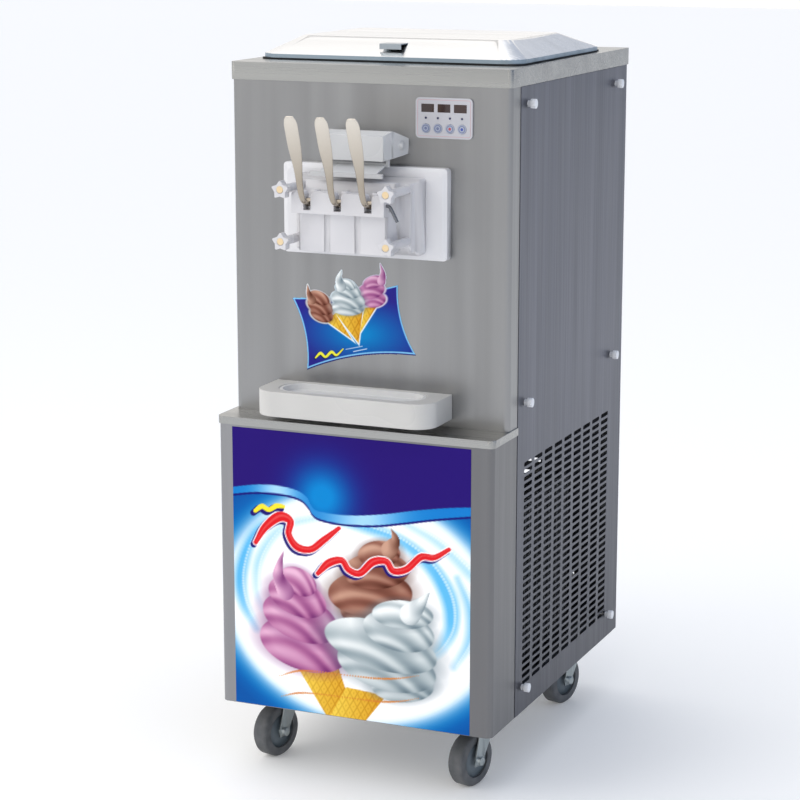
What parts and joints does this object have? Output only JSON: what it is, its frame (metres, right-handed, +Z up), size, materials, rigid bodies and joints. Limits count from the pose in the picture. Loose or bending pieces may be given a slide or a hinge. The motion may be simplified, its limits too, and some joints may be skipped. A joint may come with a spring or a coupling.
{
  "type": "soft serve machine",
  "caption": "Floor-standing soft serve machine on casters, with a lever-operated dispensing door, mix hoppers under a lid, drip tray and vented cabinet.",
  "frame": {"origin": "on the floor under the wheels, at the middle of the whole object's plan: the cabinet's centre plane, midway between the lever tips and the back of the cable gland", "axes": "+X to the right seen from the front, +Y towards the back, +Z up"},
  "size_m": [0.572, 0.87, 1.359],
  "materials": {
    "bezel_white": "printed membrane on white bezel",
    "button_grey": "blue-grey push key",
    "coil_alu": "aluminium fins",
    "compressor_black": "black enamel",
    "fan_alu": "pressed aluminium",
    "fan_motor_black": "black enamel",
    "frame_steel": "grey powder coat",
    "gland_black": "black nylon",
    "knob_white": "moulded white nylon",
    "lamp_dark": "unlit lamp lens",
    "lever_steel": "polished stainless casting",
    "motor_paint": "blue-grey machine enamel",
    "print_poster": "laminated print",
    "print_sticker": "laminated print",
    "rod_steel": "turned steel",
    "stainless_bright": "polished pressed stainless",
    "stainless_front": "vertical brushed stainless, satin",
    "stainless_inner": "plain mill stainless",
    "stainless_side": "brushed stainless, bluish in shade",
    "stainless_trim": "long-grain brushed stainless, satin",
    "tray_abs": "moulded off-white, semi-gloss",
    "tyre_grey": "slate grey rubber tyre on a moulded hub",
    "white_abs": "moulded white, semi-gloss",
    "white_pom": "machined white acetal, semi-gloss",
    "window_dark": "smoked display window",
    "zinc": "zinc plated pressed steel"
  },
  "bodies": {
    "cabinet": {"cable_gland": "gland_black", "caster_plates": "zinc", "compressor": "compressor_black", "condenser": "coil_alu", "control_bezel": "bezel_white", "dispensing_door": "white_pom", "display_windows": "window_dark", "door_studs": "rod_steel", "door_surround": "white_abs", "electrical_box": "stainless_inner", "fan_motor": "fan_motor_black", "floor_plate": "stainless_inner", "frame": "frame_steel", "freezing_cylinders": "stainless_inner", "front_poster": "print_poster", "front_sticker": "print_sticker", "gear_motors": "motor_paint", "indicator_lamps": "lamp_dark", "lever_pivot_rod": "rod_steel", "lower_front_panel": "stainless_front", "mix_hoppers": "stainless_inner", "rear_panel": "stainless_side", "side_panel_left": "stainless_side", "side_panel_right": "stainless_side", "step_shelf": "stainless_trim", "switch_housing": "white_abs", "thumb_screws": "knob_white", "top_cover": "stainless_trim", "tray_bracket": "stainless_front", "upper_front_panel": "stainless_front"},
    "lid": {"hopper_lid": "stainless_bright", "lid_handle": "stainless_bright"},
    "tray": {"drip_tray": "tray_abs"},
    "tray_liner": {"drip_liner": "tray_abs"},
    "lever_left": {"lever_left": "lever_steel"},
    "plunger_left": {"plunger_left": "white_pom"},
    "lever_centre": {"lever_centre": "lever_steel"},
    "plunger_centre": {"plunger_centre": "white_pom"},
    "lever_right": {"lever_right": "lever_steel"},
    "plunger_right": {"plunger_right": "white_pom"},
    "flap": {"switch_flap": "white_abs"},
    "knob_upper_left": {"star_knob_upper_left": "knob_white"},
    "knob_upper_right": {"star_knob_upper_right": "knob_white"},
    "knob_lower_left": {"star_knob_lower_left": "knob_white"},
    "knob_lower_right": {"star_knob_lower_right": "knob_white"},
    "button_1": {"button_1": "button_grey"},
    "button_2": {"button_2": "button_grey"},
    "button_3": {"button_3": "button_grey"},
    "button_4": {"button_4": "button_grey"},
    "beater_left": {"beater_left": "stainless_inner"},
    "beater_right": {"beater_right": "stainless_inner"},
    "fan": {"condenser_fan": "fan_alu"},
    "fork_front_left": {"caster_fork_front_left": "zinc"},
    "wheel_front_left": {"caster_wheel_front_left": "tyre_grey"},
    "fork_front_right": {"caster_fork_front_right": "zinc"},
    "wheel_front_right": {"caster_wheel_front_right": "tyre_grey"},
    "fork_rear_left": {"caster_fork_rear_left": "zinc"},
    "wheel_rear_left": {"caster_wheel_rear_left": "tyre_grey"},
    "fork_rear_right": {"caster_fork_rear_right": "zinc"},
    "wheel_rear_right": {"caster_wheel_rear_right": "tyre_grey"}
  },
  "joints": [
    {"name": "lid_lift", "type": "slide", "parent": "cabinet", "child": "lid", "axis": [0, 0, 1], "range_m": [0, 0.25]},
    {"name": "tray_pull", "type": "slide", "parent": "cabinet", "child": "tray", "axis": [0, -1, 0], "range_m": [0, 0.12]},
    {"name": "liner_lift", "type": "slide", "parent": "tray", "child": "tray_liner", "axis": [0, 0, 1], "range_m": [0, 0.06]},
    {"name": "lever_left_pull", "type": "hinge", "parent": "cabinet", "child": "lever_left", "pos_m": [-0.058, -0.3556, 1.089], "axis": [1, 0, 0], "range_deg": [0, 30]},
    {"name": "plunger_left_rise", "type": "slide", "parent": "cabinet", "child": "plunger_left", "axis": [0, 0, 1], "range_m": [0, 0.0136]},
    {"name": "lever_centre_pull", "type": "hinge", "parent": "cabinet", "child": "lever_centre", "pos_m": [0, -0.3556, 1.089], "axis": [1, 0, 0], "range_deg": [0, 30]},
    {"name": "plunger_centre_rise", "type": "slide", "parent": "cabinet", "child": "plunger_centre", "axis": [0, 0, 1], "range_m": [0, 0.0136]},
    {"name": "lever_right_pull", "type": "hinge", "parent": "cabinet", "child": "lever_right", "pos_m": [0.058, -0.3556, 1.089], "axis": [1, 0, 0], "range_deg": [0, 30]},
    {"name": "plunger_right_rise", "type": "slide", "parent": "cabinet", "child": "plunger_right", "axis": [0, 0, 1], "range_m": [0, 0.0136]},
    {"name": "flap_tilt", "type": "hinge", "parent": "cabinet", "child": "flap", "pos_m": [0, -0.2806, 1.151], "axis": [-1, 0, 0], "range_deg": [0, 9]},
    {"name": "knob_upper_left_turn", "type": "hinge", "parent": "cabinet", "child": "knob_upper_left", "pos_m": [-0.1, -0.3346, 1.111], "axis": [0, 1, 0], "continuous": true},
    {"name": "knob_upper_right_turn", "type": "hinge", "parent": "cabinet", "child": "knob_upper_right", "pos_m": [0.1, -0.3346, 1.111], "axis": [0, 1, 0], "continuous": true},
    {"name": "knob_lower_left_turn", "type": "hinge", "parent": "cabinet", "child": "knob_lower_left", "pos_m": [-0.1, -0.3346, 1.02], "axis": [0, 1, 0], "continuous": true},
    {"name": "knob_lower_right_turn", "type": "hinge", "parent": "cabinet", "child": "knob_lower_right", "pos_m": [0.1, -0.3346, 1.02], "axis": [0, 1, 0], "continuous": true},
    {"name": "button_1_press", "type": "slide", "parent": "cabinet", "child": "button_1", "axis": [0, 1, 0], "range_m": [0, 0.0008], "stiffness_N_per_m": 400, "springref_m": -0.0003},
    {"name": "button_2_press", "type": "slide", "parent": "cabinet", "child": "button_2", "axis": [0, 1, 0], "range_m": [0, 0.0008], "stiffness_N_per_m": 400, "springref_m": -0.0003},
    {"name": "button_3_press", "type": "slide", "parent": "cabinet", "child": "button_3", "axis": [0, 1, 0], "range_m": [0, 0.0008], "stiffness_N_per_m": 400, "springref_m": -0.0003},
    {"name": "button_4_press", "type": "slide", "parent": "cabinet", "child": "button_4", "axis": [0, 1, 0], "range_m": [0, 0.0008], "stiffness_N_per_m": 400, "springref_m": -0.0003},
    {"name": "beater_left_spin", "type": "hinge", "parent": "cabinet", "child": "beater_left", "pos_m": [-0.056, 0, 1.062], "axis": [0, 1, 0], "continuous": true},
    {"name": "beater_right_spin", "type": "hinge", "parent": "cabinet", "child": "beater_right", "pos_m": [0.056, 0, 1.062], "axis": [0, 1, 0], "continuous": true},
    {"name": "fan_spin", "type": "hinge", "parent": "cabinet", "child": "fan", "pos_m": [0.172, 0.0464, 0.337], "axis": [1, 0, 0], "continuous": true},
    {"name": "fork_front_left_swivel", "type": "hinge", "parent": "cabinet", "child": "fork_front_left", "pos_m": [-0.2, -0.1786, 0.12], "axis": [0, 0, 1], "continuous": true},
    {"name": "wheel_front_left_roll", "type": "hinge", "parent": "fork_front_left", "child": "wheel_front_left", "pos_m": [-0.20828, -0.20951, 0.05], "axis": [0.9659, -0.2588, 0], "continuous": true},
    {"name": "fork_front_right_swivel", "type": "hinge", "parent": "cabinet", "child": "fork_front_right", "pos_m": [0.2, -0.1786, 0.12], "axis": [0, 0, 1], "continuous": true},
    {"name": "wheel_front_right_roll", "type": "hinge", "parent": "fork_front_right", "child": "wheel_front_right", "pos_m": [0.19172, -0.20951, 0.05], "axis": [0.9659, -0.2588, 0], "continuous": true},
    {"name": "fork_rear_left_swivel", "type": "hinge", "parent": "cabinet", "child": "fork_rear_left", "pos_m": [-0.2, 0.3194, 0.12], "axis": [0, 0, 1], "continuous": true},
    {"name": "wheel_rear_left_roll", "type": "hinge", "parent": "fork_rear_left", "child": "wheel_rear_left", "pos_m": [-0.20828, 0.28849, 0.05], "axis": [0.9659, -0.2588, 0], "continuous": true},
    {"name": "fork_rear_right_swivel", "type": "hinge", "parent": "cabinet", "child": "fork_rear_right", "pos_m": [0.2, 0.3194, 0.12], "axis": [0, 0, 1], "continuous": true},
    {"name": "wheel_rear_right_roll", "type": "hinge", "parent": "fork_rear_right", "child": "wheel_rear_right", "pos_m": [0.19172, 0.28849, 0.05], "axis": [0.9659, -0.2588, 0], "continuous": true}
  ],
  "couplings": [
    {"joint": "plunger_left_rise", "follows": "lever_left_pull", "m_per_rad": 0.025704},
    {"joint": "plunger_centre_rise", "follows": "lever_centre_pull", "m_per_rad": 0.025704},
    {"joint": "plunger_right_rise", "follows": "lever_right_pull", "m_per_rad": 0.025704}
  ]
}
